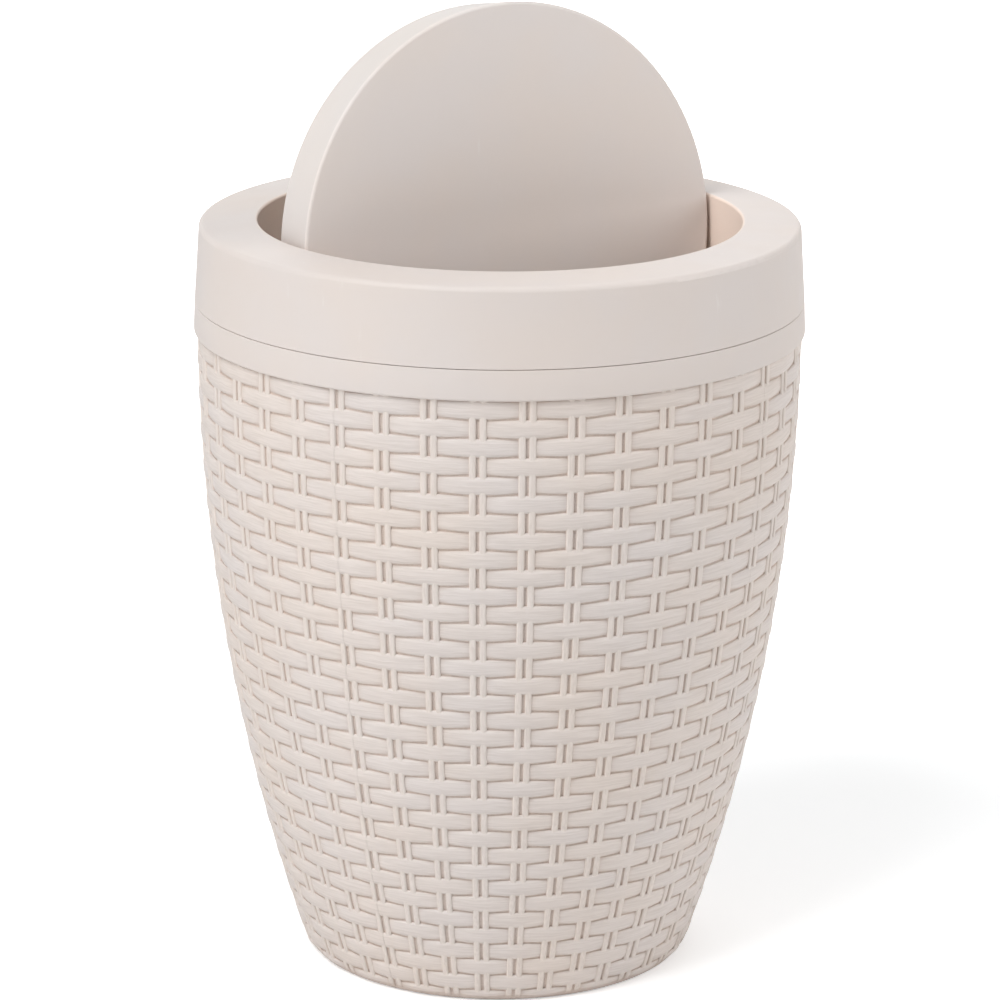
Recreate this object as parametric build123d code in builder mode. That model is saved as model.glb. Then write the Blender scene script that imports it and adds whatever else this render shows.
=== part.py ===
from build123d import *
import os
from math import sqrt

# A round waste bin with a woven-look bucket and a swing flap in a lift-off collar.
# Millimetres. The bin stands on z = 0 about the Z axis, and the flap turns about the X axis.

# Bucket wall: radii of the weave's crests, which lie on one arc that is upright at the band
foot_radius = 77.4
weave_top_radius = 119.7
first_row_z = 5.5
row_pitch = 7.37
row_count = 34
weave_depth = 1.2
bucket_wall = 2.0

# Bucket base
base_recess = 3.0
floor_thickness = 2.4
foot_ring_width = 8.0
foot_inset = 2.6
foot_round = 4.0
floor_round = 5.0

# Band round the top of the bucket, and the neck that the collar slips over
band_height = 12.0
band_proud = 1.3
band_inset = 0.6
band_edge_round = 1.0
neck_height = 13.5
neck_wall = 1.8
neck_edge_round = 0.6

# Collar: skirt outside, top face sloping up to the lip, and throat wall inside
seam_gap = 0.3
neck_clearance = 0.3
collar_wall = 2.0
skirt_height = 28.6
skirt_inset = 1.8
shoulder_rise = 2.1
shoulder_inset = 2.2
top_face_rise = 1.2
throat_radius = 95.4
throat_depth = 34.0
lip_round = 1.0

# Pivot: its height below the lip, the pins, and the bosses that carry them
pivot_depth = 8.8
pin_radius = 2.5
pin_head_radius = 4.5
pin_head_length = 1.5
pin_chamfer = 0.4
pin_grip = 10.0
running_clearance = 0.08
axial_clearance = 0.4
boss_wall = 2.4
collar_boss_length = 3.4

# Flap: a shell with an inset cover underneath, shown swung open
open_angle = 85.5
flap_gap = 1.6
flap_top_rise = 9.1
flap_depth = 23.5
flap_draft = 2.3
flap_wall = 2.0
flap_edge_round = 1.2
cover_thickness = 2.0
cover_inset = 0.8
cover_clearance = 0.2

# Pegs that hold the cover on the shell
peg_count = 4
peg_circle_radius = 56.0
peg_radius = 2.0
peg_length = 7.0
peg_chamfer = 0.5
socket_wall = 1.8

# Heights worked out from the sizes above
band_bottom_z = first_row_z + row_count * row_pitch
band_top_z = band_bottom_z + band_height
floor_top_z = base_recess + floor_thickness
collar_bottom_z = band_top_z + seam_gap
shoulder_z = collar_bottom_z + skirt_height
crease_z = shoulder_z + shoulder_rise
lip_z = crease_z + top_face_rise
pivot_z = lip_z - pivot_depth

# Radii worked out from the sizes above
band_bottom_radius = weave_top_radius + band_proud
seam_radius = band_bottom_radius - band_inset
shoulder_radius = seam_radius - skirt_inset
crease_radius = shoulder_radius - shoulder_inset
throat_outer_radius = throat_radius + collar_wall
flap_top_radius = throat_radius - flap_gap
flap_bottom_radius = flap_top_radius - flap_draft
boss_radius = pin_radius + boss_wall
socket_radius = peg_radius + socket_wall

# Heights within the flap, measured from the pivot along the closed flap's upward direction
flap_rim = flap_top_rise - flap_depth
flap_ceiling = flap_top_rise - flap_wall
cover_outside = flap_rim + cover_inset
cover_inside = cover_outside + cover_thickness

# Places along the pivot axis, from the bin's centre
collar_boss_end = throat_outer_radius + collar_boss_length
pin_head_seat = collar_boss_end + axial_clearance
pin_head_end = pin_head_seat + pin_head_length
shell_inner_radius = flap_top_radius - flap_draft * flap_top_rise / flap_depth - flap_wall
pin_tip = shell_inner_radius - pin_grip
flap_boss_end = pin_tip - flap_wall

# Radius of the wall's curve, from how far it spreads between the foot and the band
wall_spread = weave_top_radius - foot_radius
wall_curve = (wall_spread**2 + band_bottom_z**2) / (2 * wall_spread)


def crest_radius(z):
    """Radius of the bin over the weave's crests at height z."""
    drop = band_bottom_z - z
    return weave_top_radius - wall_curve + sqrt(wall_curve**2 - drop**2)


def inner_radius(z):
    """Radius of the smooth wall inside the bucket at height z."""
    return crest_radius(z) - weave_depth - bucket_wall


def skirt_radius(z):
    """Outer radius of the collar's skirt at height z."""
    return seam_radius - (z - collar_bottom_z) * skirt_inset / skirt_height


def neck_radius(z):
    """Outer radius of the bucket's neck at height z, clear of the skirt round it."""
    return skirt_radius(z) - collar_wall - neck_clearance


def corner(section, x, y):
    """The vertex of a section that is nearest to a point."""
    return section.vertices().sort_by_distance(Vector(x, y, 0))[0]


# The bucket is one moulding: base, woven wall, band and neck
wall_middle_z = (floor_top_z + band_bottom_z) / 2
neck_top_z = band_top_z + neck_height
foot_ring_inner = foot_radius - foot_ring_width

with BuildPart() as bucket:
    with BuildSketch(Plane.XZ) as bucket_section:
        with BuildLine():
            Polyline(
                (0, floor_top_z),
                (0, base_recess),
                (foot_ring_inner, base_recess),
                (foot_ring_inner, 0),
                (foot_radius - foot_inset, 0),
                (crest_radius(first_row_z) - weave_depth, first_row_z),
            )
            for row in range(row_count):
                low_z = first_row_z + row * row_pitch
                high_z = low_z + row_pitch
                middle_z = low_z + row_pitch / 2
                ThreePointArc(
                    (crest_radius(low_z) - weave_depth, low_z),
                    (crest_radius(middle_z), middle_z),
                    (crest_radius(high_z) - weave_depth, high_z),
                )
            Polyline(
                (crest_radius(band_bottom_z) - weave_depth, band_bottom_z),
                (band_bottom_radius, band_bottom_z),
                (seam_radius, band_top_z),
                (neck_radius(band_top_z), band_top_z),
                (neck_radius(neck_top_z), neck_top_z),
                (neck_radius(neck_top_z) - neck_wall, neck_top_z),
                (inner_radius(band_bottom_z), band_bottom_z),
            )
            ThreePointArc(
                (inner_radius(band_bottom_z), band_bottom_z),
                (inner_radius(wall_middle_z), wall_middle_z),
                (inner_radius(floor_top_z), floor_top_z),
            )
            Line((inner_radius(floor_top_z), floor_top_z), (0, floor_top_z))
        make_face()
        fillet(corner(bucket_section, foot_radius - foot_inset, 0), foot_round)
        fillet(corner(bucket_section, band_bottom_radius, band_bottom_z), band_edge_round)
        fillet(corner(bucket_section, neck_radius(neck_top_z), neck_top_z), neck_edge_round)
        fillet(corner(bucket_section, inner_radius(floor_top_z), floor_top_z), floor_round)
    revolve(axis=Axis.Z)

# The collar is an open-bottomed channel whose inner wall is the throat
skirt_ceiling_z = shoulder_z - collar_wall
throat_bottom_z = lip_z - throat_depth

with BuildPart() as collar:
    with BuildSketch(Plane.XZ) as collar_section:
        with BuildLine():
            Line((seam_radius, collar_bottom_z), (shoulder_radius, shoulder_z))
            TangentArc(
                (shoulder_radius, shoulder_z),
                (crease_radius, crease_z),
                tangent=(-skirt_inset, skirt_height),
            )
            Polyline(
                (crease_radius, crease_z),
                (throat_radius, lip_z),
                (throat_radius, throat_bottom_z),
                (throat_outer_radius, throat_bottom_z),
                (throat_outer_radius, lip_z - collar_wall),
                (crease_radius - collar_wall, crease_z - collar_wall),
                (skirt_radius(skirt_ceiling_z) - collar_wall, skirt_ceiling_z),
                (seam_radius - collar_wall, collar_bottom_z),
                (seam_radius, collar_bottom_z),
            )
        make_face()
        fillet(corner(collar_section, throat_radius, lip_z), lip_round)
    revolve(axis=Axis.Z)

    # A boss on the hidden side of the throat wall at each end of the pivot, hung from the top face
    for side in (1, -1):
        boss_plane = Plane(origin=(side * collar_boss_end, 0, pivot_z), x_dir=(0, side, 0), z_dir=(side, 0, 0))
        with BuildSketch(boss_plane):
            Circle(boss_radius)
            Rectangle(2 * boss_radius, pivot_depth - collar_wall / 2, align=(Align.CENTER, Align.MIN))
        extrude(amount=-(collar_boss_length + collar_wall / 2))
        with BuildSketch(boss_plane):
            Circle(pin_radius + running_clearance)
        extrude(amount=-(collar_boss_length + 2 * collar_wall), mode=Mode.SUBTRACT)

# The flap's own frame: its z points out of the top face, which faces forward when the flap is open
flap_frame = Plane(origin=(0, 0, pivot_z)).rotated((open_angle, 0, 0))
flap_axis = Axis(flap_frame.origin, flap_frame.z_dir)
flap_side = Plane(origin=flap_frame.origin, x_dir=flap_frame.x_dir, z_dir=-flap_frame.y_dir)
flap_end = Plane(origin=flap_frame.origin, x_dir=flap_frame.y_dir, z_dir=flap_frame.x_dir)

with BuildPart() as flap_shell:
    with BuildSketch(flap_side) as shell_section:
        with BuildLine():
            Polyline(
                (0, flap_ceiling),
                (0, flap_top_rise),
                (flap_top_radius, flap_top_rise),
                (flap_bottom_radius, flap_rim),
                (flap_bottom_radius - flap_wall, flap_rim),
                (flap_top_radius - flap_wall, flap_ceiling),
                close=True,
            )
        make_face()
        fillet(corner(shell_section, flap_top_radius, flap_top_rise), flap_edge_round)
        fillet(corner(shell_section, flap_bottom_radius, flap_rim), flap_edge_round)
    revolve(axis=flap_axis)

    # A boss inside each end of the pivot, hung from the face, with a hole that grips the pin
    for side in (1, -1):
        boss_length = shell_inner_radius + flap_wall / 2 - flap_boss_end
        with BuildSketch(flap_end.offset(side * flap_boss_end)):
            Circle(boss_radius)
            Rectangle(2 * boss_radius, flap_top_rise - flap_wall / 2, align=(Align.CENTER, Align.MIN))
        extrude(amount=side * boss_length)
        with BuildSketch(flap_end.offset(side * pin_tip)):
            Circle(pin_radius)
        extrude(amount=side * (flap_top_radius - pin_tip), mode=Mode.SUBTRACT)

    # Sockets for the cover's pegs, which stand on the back of the face
    with BuildSketch(flap_frame.offset(cover_inside)):
        with PolarLocations(peg_circle_radius, peg_count, start_angle=180 / peg_count):
            Circle(socket_radius)
    extrude(amount=flap_top_rise - flap_wall / 2 - cover_inside)
    with BuildSketch(flap_frame.offset(cover_inside)):
        with PolarLocations(peg_circle_radius, peg_count, start_angle=180 / peg_count):
            Circle(peg_radius)
    extrude(amount=peg_length + peg_chamfer, mode=Mode.SUBTRACT)

# The cover closes the back of the shell and sits a little inside its rim
cover_top_radius = flap_bottom_radius - flap_wall - cover_clearance

with BuildPart() as flap_cover:
    with BuildSketch(flap_frame.offset(cover_outside)):
        Circle(cover_top_radius)
    extrude(amount=cover_thickness)
    with BuildSketch(flap_frame.offset(cover_inside)):
        with PolarLocations(peg_circle_radius, peg_count, start_angle=180 / peg_count):
            Circle(peg_radius)
    pegs = extrude(amount=peg_length)
    peg_tips = pegs.faces().sort_by(flap_axis)[-peg_count:]
    chamfer(peg_tips.edges(), peg_chamfer)

# Two stepped pins carry the flap: each grips the flap's boss and turns in the collar's
pin_section_points = [
    (pin_tip, 0),
    (pin_tip, pin_radius),
    (pin_head_seat, pin_radius),
    (pin_head_seat, pin_head_radius),
    (pin_head_end, pin_head_radius),
    (pin_head_end, 0),
]

with BuildPart() as pivot_pin_right:
    with BuildSketch(Plane(origin=(0, 0, pivot_z), x_dir=(1, 0, 0), z_dir=(0, -1, 0))) as pin_section:
        with BuildLine():
            Polyline(*pin_section_points, close=True)
        make_face()
        chamfer(corner(pin_section, pin_tip, pin_radius), pin_chamfer)
        chamfer(corner(pin_section, pin_head_end, pin_head_radius), pin_chamfer)
    revolve(axis=Axis((0, 0, pivot_z), (1, 0, 0)))

with BuildPart() as pivot_pin_left:
    add(mirror(pivot_pin_right.part, about=Plane.YZ))

pieces = {
    "bucket": bucket,
    "collar": collar,
    "flap_shell": flap_shell,
    "flap_cover": flap_cover,
    "pivot_pin_left": pivot_pin_left,
    "pivot_pin_right": pivot_pin_right,
}

os.makedirs("parts", exist_ok=True)
for label, piece in pieces.items():
    piece.part.label = label
    export_step(piece.part, f"parts/{label}.step")
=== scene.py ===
import math
import random
import bmesh
import bpy
from mathutils import Matrix, Vector


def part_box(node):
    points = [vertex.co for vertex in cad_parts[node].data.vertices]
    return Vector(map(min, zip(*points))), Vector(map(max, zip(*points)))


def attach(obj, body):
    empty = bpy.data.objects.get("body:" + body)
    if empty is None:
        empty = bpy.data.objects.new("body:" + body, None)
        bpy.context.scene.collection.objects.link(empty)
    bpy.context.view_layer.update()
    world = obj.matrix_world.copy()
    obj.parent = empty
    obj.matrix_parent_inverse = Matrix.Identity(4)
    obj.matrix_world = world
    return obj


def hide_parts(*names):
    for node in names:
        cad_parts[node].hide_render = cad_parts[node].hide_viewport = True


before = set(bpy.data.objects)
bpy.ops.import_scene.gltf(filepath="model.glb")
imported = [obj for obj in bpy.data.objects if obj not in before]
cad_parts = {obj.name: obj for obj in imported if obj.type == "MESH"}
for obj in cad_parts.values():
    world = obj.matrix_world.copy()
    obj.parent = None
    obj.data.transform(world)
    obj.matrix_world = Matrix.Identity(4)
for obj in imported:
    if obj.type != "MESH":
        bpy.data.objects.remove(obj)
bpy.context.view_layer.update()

# Sizes are in metres. The bin stands on z = 0 about the Z axis and faces -Y, and its flap turns
# about the X axis.
MM = 0.001
Z_AXIS = Vector((0, 0, 1))

# Heights and radii taken from the frame
bucket_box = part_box("bucket")
collar_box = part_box("collar")
NECK_TOP = bucket_box[1].z
BAND_RADIUS = bucket_box[1].x
SEAM_RADIUS = collar_box[1].x

# Throat and flap. The open flap leans back about its pivot, and FLAP_FACE is how far its face
# stands in front of the pivot.
THROAT_RADIUS = 95.5 * MM
PIVOT_Z = 291.48 * MM
FLAP_OPEN = math.radians(85.5)
FLAP_FACE = 9.1 * MM
FLAP_DEPTH = 23.5 * MM

# Wall of the bucket: the weave's crests follow one arc that is upright at the band
NECK_HEIGHT = 13.5 * MM
BAND_HEIGHT = 12.0 * MM
BAND_TOP = NECK_TOP - NECK_HEIGHT
BAND_BOTTOM = BAND_TOP - BAND_HEIGHT
BAND_PROUD = 1.3 * MM
CREST_TOP_RADIUS = BAND_RADIUS - BAND_PROUD
CREST_FOOT_RADIUS = 77.4 * MM
WALL_SPREAD = CREST_TOP_RADIUS - CREST_FOOT_RADIUS
WALL_CURVE = (WALL_SPREAD**2 + BAND_BOTTOM**2) / (2 * WALL_SPREAD)
INNER_DEPTH = 3.2 * MM

# Base, band and neck of the bucket
INNER_FLOOR_Z = 5.4 * MM
INNER_FLOOR_ROUND = 4.5 * MM
BASE_RECESS_Z = 3.0 * MM
BASE_RECESS_RADIUS = 69.4 * MM
FOOT_RADIUS = 75.6 * MM
FOOT_ROUND = 1.8 * MM
NECK_INSET = 2.28 * MM
NECK_TAPER = 0.98 * MM
NECK_FOOT_RADIUS = SEAM_RADIUS - NECK_INSET
NECK_TOP_RADIUS = NECK_FOOT_RADIUS - NECK_TAPER
NECK_WALL = 1.8 * MM
NECK_ROUND = 0.6 * MM
BAND_ROUND = 1.1 * MM
SEAM_ROUND = 0.35 * MM

# The wall's outer faces show between the strands and wear the stakes' plastic. They are the
# ones above the foot's flat and near the plain wall's radius.
WALL_FACES_ABOVE = 0.1 * MM
WALL_FACES_WITHIN = 1.0 * MM

# Weave: flat weavers go round the bucket, over and under pairs of upright stakes. Below the
# whole rows, one more row runs out at the foot.
ROW_COUNT = 34
UPPER_ROWS = 17
FIRST_ROW_Z = 5.5 * MM
ROW_PITCH = (BAND_BOTTOM - FIRST_ROW_Z) / ROW_COUNT
PAIR_COUNT = 40
PAIR_STEP = 2 * math.pi / PAIR_COUNT
PAIR_PHASE = math.radians(-0.33)
RELIEF = 1.3 * MM
RELIEF_FADE = (0.6 * MM, 3.6 * MM)
SUNK = 0.3 * MM
STRAND_FOOT_Z = 0.6 * MM
TONE_SEED = 7


def mirrored(half):
    """A strand's whole section from one half of it.

    A corner is its place across the strand, and its share of the strand's depth, or None where it
    is sunk in the wall.
    """
    return half + tuple((-across, crown) for across, crown in reversed(half))


# Stakes: upright flat-topped rods in pairs, slimmer and closer at the foot
STAKE_SPACING_TOP = 4.0 * MM
STAKE_SPACING_FOOT = 3.65 * MM
STAKE_WIDTH_TOP = 2.8 * MM
STAKE_WIDTH_FOOT = 2.5 * MM
STAKE_DEPTH = 1.05 * MM
STAKE_SECTION = mirrored(((-1, None), (-1, 0.3), (-0.9, 0.75), (-0.5, 0.97)))

# Weavers: each strand bows out over one pair of stakes and dives behind the pair on either side.
# It stops just short of the next strand, so that their ends don't share a face. WEAVER_TUCK is
# how far the top row may go up behind the band.
WEAVER_HEIGHT_OVER = 7.2 * MM
WEAVER_HEIGHT_BEHIND = 5.5 * MM
WEAVER_DEPTH_BEHIND = 0.12 * MM
WEAVER_REACH = 0.999 * PAIR_STEP
WEAVER_TUCK = 0.2 * MM
WEAVER_SECTION = mirrored(((-1, None), (-1, 0.35), (-0.85, 0.74), (-0.45, 1)))

# Steps of the meshes. A stake's steps are closer together towards the foot, where it bends most.
RING_STEPS = 256
CORNER_STEPS = 6
WALL_STEPS = 40
WEAVER_STEPS = 10
STAKE_STEPS = 44
STAKE_CROWDING = 1.6

# Limits: points this near are one, an edge of a flat grid this short runs across it, and edges
# sharper than these angles stay crisp
MERGE_DISTANCE = 0.001 * MM
GRID_TINY = 0.001
PLAIN_SHARP = math.radians(40)
STRAND_SHARP = math.radians(60)


def crest_radius(z):
    """Radius over the weave's crests at height z."""
    return CREST_TOP_RADIUS - WALL_CURVE + math.sqrt(WALL_CURVE**2 - (BAND_BOTTOM - z) ** 2)


def ground_radius(z):
    """Radius of the plain wall under the weave at height z.

    Below the lowest whole row it slopes in to the foot.
    """
    if z >= FIRST_ROW_Z:
        return crest_radius(z) - RELIEF
    return FOOT_RADIUS + (crest_radius(FIRST_ROW_Z) - RELIEF - FOOT_RADIUS) * z / FIRST_ROW_Z


def strand_radius(z, depth):
    """Radius of a point that stands proud of the plain wall, less and less so at the foot."""
    low, high = RELIEF_FADE
    share = min(max((z - low) / (high - low), 0), 1)
    share = share * share * (3 - 2 * share)
    return ground_radius(z) + depth * share - SUNK * (1 - share)


def spread(low, high, count):
    """Evenly spaced values from low to high, both included."""
    return [low + (high - low) * i / (count - 1) for i in range(count)]


def between(start, end, share):
    """The value a share of the way from start to end."""
    return start + (end - start) * share


def add_object(name, data):
    """Puts a mesh, lamp or camera into the scene, at the origin."""
    added = bpy.data.objects.new(name, data)
    bpy.context.scene.collection.objects.link(added)
    return added


def mesh_from(bm, name):
    """Turns a bmesh into a mesh, and lets the bmesh go."""
    mesh = bpy.data.meshes.new(name)
    bm.to_mesh(mesh)
    bm.free()
    return mesh


def finish_mesh(bm, name, body, material, sharp=PLAIN_SHARP):
    """Turns a bmesh into a smooth-shaded piece that rides on a body."""
    mesh = mesh_from(bm, name)
    for face in mesh.polygons:
        face.use_smooth = True
    mesh.set_sharp_from_angle(angle=sharp)
    mesh.materials.append(material)
    piece = add_object(name, mesh)
    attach(piece, body)
    return piece


def revolve(outline):
    """Spins an outline about the Z axis. Each corner is a radius, a height and a rounding, or 0."""
    bm = bmesh.new()
    chain = [bm.verts.new((radius, 0, z)) for radius, z, rounding in outline]
    for start, end in zip(chain, chain[1:]):
        bm.edges.new((start, end))
    for corner, (radius, z, rounding) in zip(chain, outline):
        if rounding:
            bmesh.ops.bevel(
                bm,
                geom=[corner],
                offset=rounding,
                offset_type="OFFSET",
                segments=CORNER_STEPS,
                profile=0.5,
                affect="VERTICES",
                material=-1,
            )
    bmesh.ops.spin(
        bm,
        geom=bm.verts[:] + bm.edges[:],
        cent=(0, 0, 0),
        axis=Z_AXIS,
        angle=2 * math.pi,
        steps=RING_STEPS,
        use_merge=True,
    )
    bmesh.ops.remove_doubles(bm, verts=bm.verts, dist=MERGE_DISTANCE)
    bmesh.ops.recalc_face_normals(bm, faces=bm.faces)
    return bm


# Materials

# Colours, as written on the plastics. The flap's two tones and the throat's tan also paint light
# and shade in.
WARM_GREIGE = (0.69, 0.62, 0.58, 1)
# Painted light and shade on the flap: its face is lighter than the collar to paint in bounce light,
# and its edge is darker than its face as painted shade
FLAP_PAINTED_LIGHT_GREIGE = (0.76, 0.692, 0.652, 1)
FLAP_EDGE_PAINTED_SHADE_GREIGE = (0.705, 0.65, 0.615, 1)
# Painted bounce light: the throat's inside is lighter and warmer than the collar, for light coming
# through and back off the plastic
THROAT_PAINTED_BOUNCE_TAN = (0.90, 0.745, 0.645, 1)
WEAVE_WARM = (0.75, 0.668, 0.615, 1)
WEAVE_COOL = (0.738, 0.668, 0.63, 1)
STAKE_CREAM = (0.76, 0.68, 0.625, 1)

# Tints that are laid over them; the last one is painted shade in the weave's gaps
WARM_DRIFT = (1.0, 0.985, 0.97, 1)
COOL_DRIFT = (0.985, 0.99, 1.0, 1)
SCUFF_WHITE = (0.85, 0.83, 0.81, 1)
FIBRE_DARK = (0.89, 0.88, 0.87, 1)
FIBRE_LIGHT = (1.0, 1.0, 1.0, 1)
# Painted shade: darkens and browns the weave's gaps, by how deep they lie
GAP_PAINTED_SHADE_BROWN = (0.87, 0.82, 0.79, 1)

# Plastic's surface. A noise has a scale in steps a metre, and a RANGE is the part of its values
# over which what it drives comes in.
PLASTIC_IOR = 1.46
DRIFT_SCALE = 22
DRIFT_RANGE = (0.3, 0.7)
SATIN_SCALE = 60
SATIN_RANGE = (0.3, 0.7)
SATIN_ROUGHNESS = (0.45, 0.53)
GRAIN_SCALE = 1500
GRAIN_HEIGHT = 0.01 * MM

# Scuffs: short upright streaks that come in patches
STREAK_STRETCH = (260, 260, 34)
STREAK_RANGE = (0.62, 0.74)
PATCH_SCALE = 11
PATCH_RANGE = (0.52, 0.66)
SCUFF_SHARE = 0.2
SCUFF_ROUGHNESS = 0.1

# Fibres of the strands, which sway a little and differ from strand to strand
WEAVER_FIBRES = (70, 70, 1700)
WEAVER_FIBRE_HEIGHT = 0.15 * MM
STAKE_FIBRES = (1500, 1500, 60)
STAKE_FIBRE_HEIGHT = 0.10 * MM
FIBRE_RANGE = (0.28, 0.72)
SWAY_SCALE = 160
SWAY_REACH = 1.3 * MM
TONE_SHIFT = 0.7
STRAND_SCUFFS = 0.4
STRAND_ROUGHNESS = 0.05

# How far painted shade, painted light and lines reach: depths under the weave's crests for the
# gaps' painted shade, a distance out from the throat's radius for its painted bounce light, depths
# under the flap's faces for its edge's painted shade, and half widths of a parting line, as angles
GAP_SHADE_DEPTHS = (0.6 * MM, 1.25 * MM)
THROAT_EDGE = 1.2 * MM
FLAP_EDGE_DEPTHS = (1.1 * MM, 0.85 * MM)
PARTING_HALF_WIDTHS = (0.0012, 0.003)
PARTING_COUNT = 4
PARTING_TURN = math.radians(26.1)

RISING = (0.0, 1.0)
FALLING = (1.0, 0.0)


def feed(tree, socket, value):
    """Links a socket to another node's output, or sets it to a plain value."""
    if isinstance(value, bpy.types.NodeSocket):
        tree.links.new(value, socket)
    else:
        socket.default_value = value


def calculate(tree, operation, *values):
    """One step of arithmetic on sockets or plain numbers."""
    node = tree.nodes.new("ShaderNodeMath")
    node.operation = operation
    for socket, value in zip(node.inputs, values):
        feed(tree, socket, value)
    return node.outputs[0]


def remap(tree, value, old, new=RISING):
    """Turns an old range of values into a new one, with soft ends."""
    node = tree.nodes.new("ShaderNodeMapRange")
    node.interpolation_type = "SMOOTHSTEP"
    feed(tree, node.inputs["Value"], value)
    for name, number in zip(("From Min", "From Max", "To Min", "To Max"), old + new):
        feed(tree, node.inputs[name], number)
    return node.outputs["Result"]


def mix_colour(tree, blend, factor, first, second):
    """Two colours mixed by a factor, or the first one multiplied by the second."""
    node = tree.nodes.new("ShaderNodeMix")
    node.data_type = "RGBA"
    node.blend_type = blend
    feed(tree, node.inputs[0], factor)
    feed(tree, node.inputs[6], first)
    feed(tree, node.inputs[7], second)
    return node.outputs[2]


def noise(tree, place, scale, detail, roughness=0.5):
    """A cloudy noise of values about a half."""
    node = tree.nodes.new("ShaderNodeTexNoise")
    feed(tree, node.inputs["Vector"], place)
    node.inputs["Scale"].default_value = scale
    node.inputs["Detail"].default_value = detail
    node.inputs["Roughness"].default_value = roughness
    return node.outputs["Fac"]


def stretch(tree, place, scale):
    """Scales a coordinate by a different amount along each axis."""
    node = tree.nodes.new("ShaderNodeMapping")
    feed(tree, node.inputs["Vector"], place)
    feed(tree, node.inputs["Scale"], scale)
    return node.outputs["Vector"]


def object_place(tree):
    """A point's place on its piece, in metres from the bin's origin."""
    return tree.nodes.new("ShaderNodeTexCoord").outputs["Object"]


def split_axes(tree, place):
    """The X, Y and Z of a place."""
    node = tree.nodes.new("ShaderNodeSeparateXYZ")
    feed(tree, node.inputs[0], place)
    return node.outputs


def distance_out(tree, axes):
    """Distance of a point from the bin's upright axis."""
    squares = [calculate(tree, "POWER", axes[name], 2.0) for name in ("X", "Y")]
    return calculate(tree, "SQRT", calculate(tree, "ADD", *squares))


def new_group(name, inputs, outputs):
    """A shader node group with named sockets. Each input is a name, a kind and a value."""
    tree = bpy.data.node_groups.new(name, "ShaderNodeTree")
    for label, kind, value in inputs:
        socket = tree.interface.new_socket(name=label, in_out="INPUT", socket_type=kind)
        socket.default_value = value
    for label, kind in outputs:
        tree.interface.new_socket(name=label, in_out="OUTPUT", socket_type=kind)
    start = tree.nodes.new("NodeGroupInput")
    end = tree.nodes.new("NodeGroupOutput")
    return tree, start.outputs, end.inputs


def use_group(tree, group, values):
    """Puts a node group into a material, with the material's own values."""
    node = tree.nodes.new("ShaderNodeGroup")
    node.node_tree = group
    for label, value in values.items():
        feed(tree, node.inputs[label], value)
    return node.outputs


def make_moulded_group():
    """Satin moulded plastic: slow drifts of tone, a fine grain and faint scuffs."""
    tree, given, made = new_group(
        "moulded_surface",
        [("Color", "NodeSocketColor", WARM_GREIGE), ("Scuffs", "NodeSocketFloat", 1.0)],
        [
            ("Color", "NodeSocketColor"),
            ("Roughness", "NodeSocketFloat"),
            ("Height", "NodeSocketFloat"),
        ],
    )
    place = object_place(tree)
    drift = remap(tree, noise(tree, place, DRIFT_SCALE, detail=3), DRIFT_RANGE)
    tint = mix_colour(tree, "MIX", drift, WARM_DRIFT, COOL_DRIFT)
    toned = mix_colour(tree, "MULTIPLY", 1.0, given["Color"], tint)

    stretched = stretch(tree, place, STREAK_STRETCH)
    streaks = remap(tree, noise(tree, stretched, 1.0, detail=4, roughness=0.65), STREAK_RANGE)
    patches = remap(tree, noise(tree, place, PATCH_SCALE, detail=2), PATCH_RANGE)
    marks = calculate(tree, "MULTIPLY", streaks, patches)
    scuffs = calculate(tree, "MULTIPLY", marks, given["Scuffs"])
    faint = calculate(tree, "MULTIPLY", scuffs, SCUFF_SHARE)
    feed(tree, made["Color"], mix_colour(tree, "MIX", faint, toned, SCUFF_WHITE))

    satin = remap(tree, noise(tree, place, SATIN_SCALE, detail=3), SATIN_RANGE, SATIN_ROUGHNESS)
    rubbed = calculate(tree, "MULTIPLY", scuffs, SCUFF_ROUGHNESS)
    feed(tree, made["Roughness"], calculate(tree, "ADD", satin, rubbed))
    feed(tree, made["Height"], noise(tree, place, GRAIN_SCALE, detail=2))
    return tree


def make_fibre_group():
    """Fine fibres along a strand. Stretch is large across the fibres and small along them."""
    tree, given, made = new_group(
        "strand_fibres",
        [("Stretch", "NodeSocketVector", WEAVER_FIBRES), ("Offset", "NodeSocketFloat", 0.0)],
        [("Tone", "NodeSocketFloat"), ("Height", "NodeSocketFloat")],
    )
    place = object_place(tree)
    sway = calculate(tree, "MULTIPLY", noise(tree, place, SWAY_SCALE, detail=2), SWAY_REACH)
    own_shift = calculate(tree, "MULTIPLY", given["Offset"], TONE_SHIFT)
    moved = tree.nodes.new("ShaderNodeVectorMath")
    moved.operation = "ADD"
    feed(tree, moved.inputs[0], place)
    feed(tree, moved.inputs[1], calculate(tree, "ADD", sway, own_shift))
    stretched = stretch(tree, moved.outputs[0], given["Stretch"])
    fibres = noise(tree, stretched, 1.0, detail=3, roughness=0.6)
    feed(tree, made["Tone"], remap(tree, fibres, FIBRE_RANGE))
    feed(tree, made["Height"], fibres)
    return tree


def make_gap_shade_group():
    """How deep a point lies under the weave's crests: 0 on the strands and 1 in the gaps, where
    painted brown shade darkens the colour.
    """
    tree, _, made = new_group("weave_gap_shade", [], [("Depth", "NodeSocketFloat")])
    axes = split_axes(tree, object_place(tree))
    drop = calculate(tree, "SUBTRACT", BAND_BOTTOM, axes["Z"])
    drop_squared = calculate(tree, "POWER", drop, 2.0)
    reach = calculate(tree, "SQRT", calculate(tree, "SUBTRACT", WALL_CURVE**2, drop_squared))
    crest = calculate(tree, "ADD", reach, CREST_TOP_RADIUS - WALL_CURVE)
    depth = calculate(tree, "SUBTRACT", crest, distance_out(tree, axes))
    feed(tree, made["Depth"], remap(tree, depth, GAP_SHADE_DEPTHS))
    return tree


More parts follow.
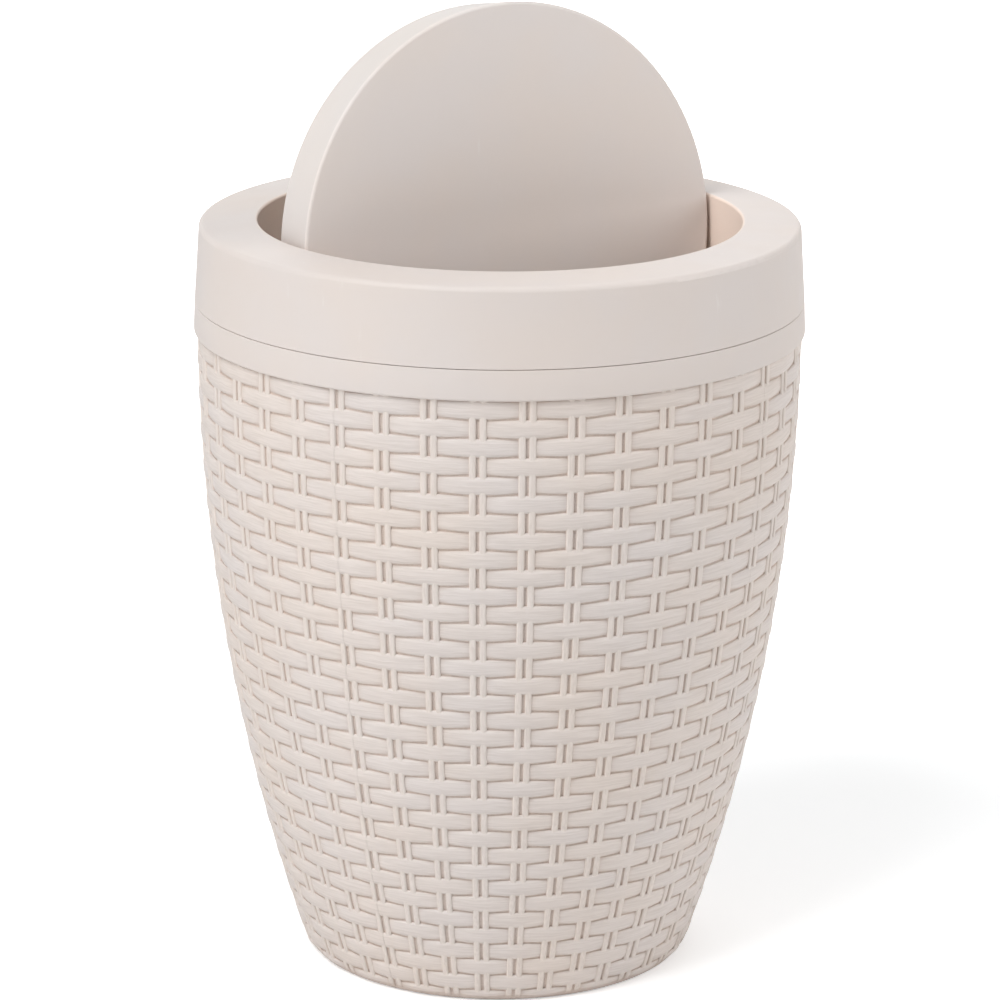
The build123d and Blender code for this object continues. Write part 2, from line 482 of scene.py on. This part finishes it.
def make_parting_group():
    """Fine upright lines where the mould's slides met round the bucket."""
    tree, _, made = new_group("parting_lines", [], [("Line", "NodeSocketFloat")])
    axes = split_axes(tree, object_place(tree))
    turn = calculate(tree, "ARCTAN2", axes["X"], calculate(tree, "MULTIPLY", axes["Y"], -1.0))
    turned = calculate(tree, "ADD", turn, math.pi - PARTING_TURN)
    off_line = calculate(tree, "PINGPONG", turned, math.pi / PARTING_COUNT)
    feed(tree, made["Line"], remap(tree, off_line, PARTING_HALF_WIDTHS, FALLING))
    return tree


def shader(name):
    """A new material, its node tree and its plastic shader."""
    material = bpy.data.materials.new(name)
    material.use_nodes = True
    plastic = material.node_tree.nodes["Principled BSDF"]
    plastic.inputs["IOR"].default_value = PLASTIC_IOR
    return material, material.node_tree, plastic


def raise_surface(tree, plastic, height, distance):
    """Fine relief that the mesh is too coarse for."""
    bump = tree.nodes.new("ShaderNodeBump")
    feed(tree, bump.inputs["Height"], height)
    bump.inputs["Distance"].default_value = distance
    bump.inputs["Strength"].default_value = 1.0
    feed(tree, plastic.inputs["Normal"], bump.outputs["Normal"])


def throat_bounce_zone(tree):
    """The collar's surfaces inside its throat, where a lighter, warmer tone paints in the light
    that comes back off the plastic.
    """
    out = distance_out(tree, split_axes(tree, object_place(tree)))
    return remap(tree, out, (THROAT_RADIUS, THROAT_RADIUS + THROAT_EDGE), FALLING)


def flap_edge_shade_zone(tree):
    """The flap's edge, between its two round faces, which takes a darker tone as painted shade."""
    axes = split_axes(tree, object_place(tree))
    height = calculate(tree, "SUBTRACT", axes["Z"], PIVOT_Z)
    forward = calculate(tree, "MULTIPLY", axes["Y"], -math.sin(FLAP_OPEN))
    lean = calculate(tree, "MULTIPLY", height, math.cos(FLAP_OPEN))
    depth = calculate(tree, "ADD", forward, lean)
    middle = FLAP_FACE - FLAP_DEPTH / 2
    off_middle = calculate(tree, "ABSOLUTE", calculate(tree, "SUBTRACT", depth, middle))
    edge_end = tuple(FLAP_DEPTH / 2 - under for under in FLAP_EDGE_DEPTHS)
    return remap(tree, off_middle, edge_end, FALLING)


def smooth_plastic(name, colour, zone=None, painted_zone_colour=None):
    """Plain moulded surfaces. A zone of them may take another tone; the ones used paint bounce
    light into the throat and shade onto the flap's edge.
    """
    material, tree, plastic = shader(name)
    if zone:
        # The zone's tone is painted: bounce light in the throat, shade on the flap's edge
        colour = mix_colour(tree, "MIX", zone(tree), colour, painted_zone_colour)
    surface = use_group(tree, moulded_group, {"Color": colour})
    feed(tree, plastic.inputs["Base Color"], surface["Color"])
    feed(tree, plastic.inputs["Roughness"], surface["Roughness"])
    raise_surface(tree, plastic, surface["Height"], GRAIN_HEIGHT)
    return material


def strand_plastic(name, warm, cool, fibres, relief):
    """Woven strands: fibres along each one, a tone of its own, and painted brown shade in the gaps.
    """
    material, tree, plastic = shader(name)
    tone = tree.nodes.new("ShaderNodeAttribute")
    tone.attribute_name = "tone"
    own = mix_colour(tree, "MIX", tone.outputs["Fac"], warm, cool)
    fibre = use_group(tree, fibre_group, {"Stretch": fibres, "Offset": tone.outputs["Fac"]})
    grain = mix_colour(tree, "MIX", fibre["Tone"], FIBRE_DARK, FIBRE_LIGHT)
    fibred = mix_colour(tree, "MULTIPLY", 1.0, own, grain)
    surface = use_group(tree, moulded_group, {"Color": fibred, "Scuffs": STRAND_SCUFFS})
    depth = use_group(tree, gap_shade_group, {})["Depth"]
    # Painted shade: the gaps get darker and browner the deeper they lie under the crests
    shaded = mix_colour(tree, "MULTIPLY", depth, surface["Color"], GAP_PAINTED_SHADE_BROWN)
    feed(tree, plastic.inputs["Base Color"], shaded)
    roughness = calculate(tree, "ADD", surface["Roughness"], STRAND_ROUGHNESS)
    feed(tree, plastic.inputs["Roughness"], roughness)
    line = use_group(tree, parting_group, {})["Line"]
    raise_surface(tree, plastic, calculate(tree, "ADD", fibre["Height"], line), relief)
    return material


moulded_group = make_moulded_group()
fibre_group = make_fibre_group()
gap_shade_group = make_gap_shade_group()
parting_group = make_parting_group()

bucket_plastic = smooth_plastic("bucket_plastic", WARM_GREIGE)
# The collar's throat takes a painted warm bounce light
collar_plastic = smooth_plastic("collar_plastic", WARM_GREIGE, throat_bounce_zone, THROAT_PAINTED_BOUNCE_TAN)
# The flap's face tone paints light in, and its edge tone paints shade
flap_plastic = smooth_plastic("flap_plastic", FLAP_PAINTED_LIGHT_GREIGE, flap_edge_shade_zone, FLAP_EDGE_PAINTED_SHADE_GREIGE)
pin_plastic = smooth_plastic("pin_plastic", WARM_GREIGE)
weaver_plastic = strand_plastic(
    "weaver_plastic", WEAVE_WARM, WEAVE_COOL, WEAVER_FIBRES, WEAVER_FIBRE_HEIGHT
)
stake_plastic = strand_plastic(
    "stake_plastic", STAKE_CREAM, STAKE_CREAM, STAKE_FIBRES, STAKE_FIBRE_HEIGHT
)


# Bucket


def make_bucket():
    """The plain body of the bucket: wall, base, band and neck."""
    wall_heights = spread(FIRST_ROW_Z, BAND_BOTTOM, WALL_STEPS)
    inner_heights = spread(BAND_BOTTOM, INNER_FLOOR_Z, WALL_STEPS)[:-1]
    bm = revolve(
        [
            (0, BASE_RECESS_Z, 0),
            (BASE_RECESS_RADIUS, BASE_RECESS_Z, 0),
            (BASE_RECESS_RADIUS, 0, 0),
            (FOOT_RADIUS, 0, FOOT_ROUND),
            *[(ground_radius(z), z, 0) for z in wall_heights],
            (BAND_RADIUS, BAND_BOTTOM, BAND_ROUND),
            (SEAM_RADIUS, BAND_TOP, SEAM_ROUND),
            (NECK_FOOT_RADIUS, BAND_TOP, 0),
            (NECK_TOP_RADIUS, NECK_TOP, NECK_ROUND),
            (NECK_TOP_RADIUS - NECK_WALL, NECK_TOP, NECK_ROUND),
            *[(crest_radius(z) - INNER_DEPTH, z, 0) for z in inner_heights],
            (crest_radius(INNER_FLOOR_Z) - INNER_DEPTH, INNER_FLOOR_Z, INNER_FLOOR_ROUND),
            (0, INNER_FLOOR_Z, 0),
        ]
    )
    for face in bm.faces:
        middle = face.calc_center_median()
        outside = middle.xy.length > ground_radius(middle.z) - WALL_FACES_WITHIN
        if WALL_FACES_ABOVE < middle.z < BAND_BOTTOM and outside:
            face.material_index = 1
    piece = finish_mesh(bm, "bucket_body", "bucket", bucket_plastic)
    piece.data.materials.append(stake_plastic)
    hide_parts("bucket")


def make_strand(bm, steps, section):
    """A closed rod: a grid is rolled up into a tube, whose ends are then filled.

    Each vertex's x is its place along the rod and its y its place in the section.
    """
    count = len(section) - 1
    verts = bmesh.ops.create_grid(bm, x_segments=steps, y_segments=count, size=1.0)["verts"]
    rim = {edge for vert in verts for edge in vert.link_edges if edge.is_boundary}
    sides = [edge for edge in rim if abs(edge.verts[0].co.x - edge.verts[1].co.x) > GRID_TINY]
    bmesh.ops.bridge_loops(bm, edges=sides)
    ends = {edge for vert in verts for edge in vert.link_edges if edge.is_boundary}
    bmesh.ops.holes_fill(bm, edges=list(ends), sides=0)
    return [(vert, vert.co.x, section[round((vert.co.y + 1) / 2 * count)]) for vert in verts]


def wrap(vert, angle, radius, z):
    """Puts a vertex at an angle from the front, a radius and a height."""
    vert.co = Vector((radius * math.sin(angle), -radius * math.cos(angle), z))


def repeat_round(bm, verts, angle, copies):
    """Copies strands round the bin, at equal angles, until there are as many as copies says."""
    edges = list({edge for vert in verts for edge in vert.link_edges})
    faces = list({face for vert in verts for face in vert.link_faces})
    bmesh.ops.spin(
        bm,
        geom=verts + edges + faces,
        cent=(0, 0, 0),
        axis=Z_AXIS,
        angle=angle * (copies - 1),
        steps=copies - 1,
        use_duplicate=True,
    )


def add_weaver(bm, row):
    """One row of weavers: a strand is shaped in front of the bin, then copied round it."""
    middle_z = BAND_BOTTOM - (row - 0.5) * ROW_PITCH
    turn = PAIR_PHASE + (PAIR_STEP if row % 2 == 0 else 0)
    strand = make_strand(bm, WEAVER_STEPS, WEAVER_SECTION)
    for vert, along, (across, crown) in strand:
        over = math.cos(along * math.pi / 2)
        half_height = between(WEAVER_HEIGHT_BEHIND, WEAVER_HEIGHT_OVER, over) / 2
        z = middle_z + across * half_height
        z = min(max(z, STRAND_FOOT_Z), BAND_BOTTOM + WEAVER_TUCK)
        depth = -SUNK if crown is None else between(WEAVER_DEPTH_BEHIND, RELIEF, over) * crown
        wrap(vert, turn + along * WEAVER_REACH, strand_radius(min(z, BAND_BOTTOM), depth), z)
    repeat_round(bm, [vert for vert, *_ in strand], 2 * PAIR_STEP, PAIR_COUNT // 2)


def close_strands(bm):
    """Clears the faces that were squeezed flat at the foot, and turns the rest outwards."""
    bmesh.ops.dissolve_degenerate(bm, dist=MERGE_DISTANCE, edges=bm.edges)
    bmesh.ops.recalc_face_normals(bm, faces=bm.faces)


def mark_strands(bm):
    """Gives each strand its own tone, as a number that its material reads."""
    layer = bm.faces.layers.float.new("tone")
    draw = random.Random(TONE_SEED)
    tones = {}
    for face in bm.faces:
        middle = face.calc_center_median()
        row = math.floor((BAND_BOTTOM - middle.z) / ROW_PITCH)
        angle = math.atan2(middle.x, -middle.y) - PAIR_PHASE - (PAIR_STEP if row % 2 else 0)
        place = (row, round(angle / (2 * PAIR_STEP)) % (PAIR_COUNT // 2))
        if place not in tones:
            tones[place] = draw.random()
        face[layer] = tones[place]


def make_weavers(name, rows):
    """Some rows of weavers as one piece."""
    bm = bmesh.new()
    for row in rows:
        add_weaver(bm, row)
    close_strands(bm)
    mark_strands(bm)
    finish_mesh(bm, name, "bucket", weaver_plastic, STRAND_SHARP)


def make_stakes():
    """Pairs of upright stakes, which follow the wall from the foot to the band."""
    bm = bmesh.new()
    pair = []
    for side in (-1, 1):
        for vert, along, (across, crown) in make_strand(bm, STAKE_STEPS, STAKE_SECTION):
            rise = ((along + 1) / 2) ** STAKE_CROWDING
            z = between(STRAND_FOOT_Z, BAND_BOTTOM, rise)
            width = between(STAKE_WIDTH_FOOT, STAKE_WIDTH_TOP, rise)
            spacing = between(STAKE_SPACING_FOOT, STAKE_SPACING_TOP, rise)
            offset = side * spacing / 2 + across * width / 2
            depth = -SUNK if crown is None else STAKE_DEPTH * crown
            wrap(vert, PAIR_PHASE + offset / crest_radius(z), strand_radius(z, depth), z)
            pair.append(vert)
    repeat_round(bm, pair, PAIR_STEP, PAIR_COUNT)
    close_strands(bm)
    finish_mesh(bm, "weave_stakes", "bucket", stake_plastic, STRAND_SHARP)


make_bucket()
make_weavers("weavers_upper", range(1, UPPER_ROWS + 1))
make_weavers("weavers_lower", range(UPPER_ROWS + 1, ROW_COUNT + 2))
make_stakes()


# Collar, flap and pins, which show the frame's own meshes

for node, material in {
    "collar": collar_plastic,
    "flap_shell": flap_plastic,
    "flap_cover": flap_plastic,
    "pivot_pin_left": pin_plastic,
    "pivot_pin_right": pin_plastic,
}.items():
    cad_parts[node].data.materials.clear()
    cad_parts[node].data.materials.append(material)


# Floor, light and camera

# The floor reaches as far as this each way. To the camera it glows more and more, up to plain
# white, over the FLOOR_FADE distances from the bin.
FLOOR_REACH = 4.0
FLOOR_PALE = (0.9, 0.9, 0.9, 1)
FLOOR_ROUGHNESS = 0.9
FLOOR_FADE = (0.35, 1.6)
FLOOR_GLOW = (0.35, 1.0)
WORLD_STRENGTH = 0.15
WHITE = (1, 1, 1, 1)

# Lamps all stand at one distance from a point inside the bin
LAMP_AIM = Vector((0, 0, 0.17))
LAMP_DISTANCE = 4.0
KEY_LIGHT = (0.965, 0.985, 1.0)
COOL_LIGHT = (0.9, 0.96, 1.0)
PLAIN_LIGHT = (1.0, 1.0, 1.0)

# Camera, with its sensor and lens in millimetres
CAMERA_AZIMUTH = math.radians(-32.53)
CAMERA_PITCH = math.radians(15.757)
CAMERA_ROLL = math.radians(0.343)
CAMERA_AIM = Vector((0, 0, 0.18429))
CAMERA_DISTANCE = 1.8829
SENSOR = 36.0
LENS = 169.32
SHIFT = 0.0015


def make_floor():
    """A pale floor that keeps the bin's shadow."""
    bm = bmesh.new()
    bmesh.ops.create_grid(bm, x_segments=1, y_segments=1, size=FLOOR_REACH)
    mesh = mesh_from(bm, "floor")
    floor = add_object("floor", mesh)
    material, tree, matt = shader("floor_white")
    matt.inputs["Base Color"].default_value = FLOOR_PALE
    matt.inputs["Roughness"].default_value = FLOOR_ROUGHNESS
    matt.inputs["Emission Color"].default_value = WHITE
    seen = tree.nodes.new("ShaderNodeLightPath").outputs["Is Camera Ray"]
    out = distance_out(tree, split_axes(tree, object_place(tree)))
    glow = remap(tree, out, FLOOR_FADE, FLOOR_GLOW)
    feed(tree, matt.inputs["Emission Strength"], calculate(tree, "MULTIPLY", seen, glow))
    mesh.materials.append(material)


def make_world():
    """A dim even light, which looks plain white to the camera and in gloss."""
    world = bpy.data.worlds.new("studio")
    bpy.context.scene.world = world
    world.use_nodes = True
    tree = world.node_tree
    soft = tree.nodes["Background"]
    soft.inputs["Color"].default_value = WHITE
    soft.inputs["Strength"].default_value = WORLD_STRENGTH
    white = tree.nodes.new("ShaderNodeBackground")
    white.inputs["Color"].default_value = WHITE
    rays = tree.nodes.new("ShaderNodeLightPath").outputs
    seen = calculate(tree, "MAXIMUM", rays["Is Camera Ray"], rays["Is Transmission Ray"])
    mix = tree.nodes.new("ShaderNodeMixShader")
    feed(tree, mix.inputs[0], calculate(tree, "MAXIMUM", seen, rays["Is Glossy Ray"]))
    feed(tree, mix.inputs[1], soft.outputs[0])
    feed(tree, mix.inputs[2], white.outputs[0])
    feed(tree, tree.nodes["World Output"].inputs["Surface"], mix.outputs[0])


def direction_from_bin(azimuth, elevation):
    """The way from the bin to a lamp or the camera. Azimuth is counted from the bin's front."""
    level = math.cos(elevation)
    return Vector((math.sin(azimuth) * level, -math.cos(azimuth) * level, math.sin(elevation)))


def facing_back(direction):
    """The turn that makes a lamp or camera look back at the bin."""
    return direction.to_track_quat("Z", "Y").to_matrix().to_4x4()


def add_lamp(name, azimuth, elevation, watts, size, colour):
    """A large soft light that faces the bin. Its azimuth is counted from the camera's side."""
    lamp = bpy.data.lights.new(name, "AREA")
    lamp.size = size
    lamp.energy = watts
    lamp.color = colour
    azimuth = CAMERA_AZIMUTH + math.radians(azimuth)
    direction = direction_from_bin(azimuth, math.radians(elevation))
    place = Matrix.Translation(LAMP_AIM + direction * LAMP_DISTANCE)
    add_object(name, lamp).matrix_world = place @ facing_back(direction)


def make_camera():
    """The camera that was fitted to the photograph."""
    camera = bpy.data.cameras.new("camera")
    camera.sensor_width = SENSOR
    camera.lens = LENS
    camera.shift_x = SHIFT
    camera_object = add_object("camera", camera)
    away = direction_from_bin(CAMERA_AZIMUTH, CAMERA_PITCH)
    place = Matrix.Translation(CAMERA_AIM + away * CAMERA_DISTANCE)
    roll = Matrix.Rotation(CAMERA_ROLL, 4, "Z")
    camera_object.matrix_world = place @ facing_back(away) @ roll
    bpy.context.scene.camera = camera_object


make_floor()
make_world()
add_lamp("key", azimuth=-45, elevation=50, watts=104, size=2.2, colour=KEY_LIGHT)
add_lamp("low", azimuth=-40, elevation=10, watts=42, size=3.0, colour=PLAIN_LIGHT)
add_lamp("fill", azimuth=85, elevation=25, watts=78, size=3.0, colour=PLAIN_LIGHT)
add_lamp("back", azimuth=180, elevation=50, watts=30, size=3.0, colour=PLAIN_LIGHT)
add_lamp("top", azimuth=0, elevation=88, watts=24, size=3.0, colour=COOL_LIGHT)
make_camera()
bpy.context.scene.view_settings.view_transform = "Standard"
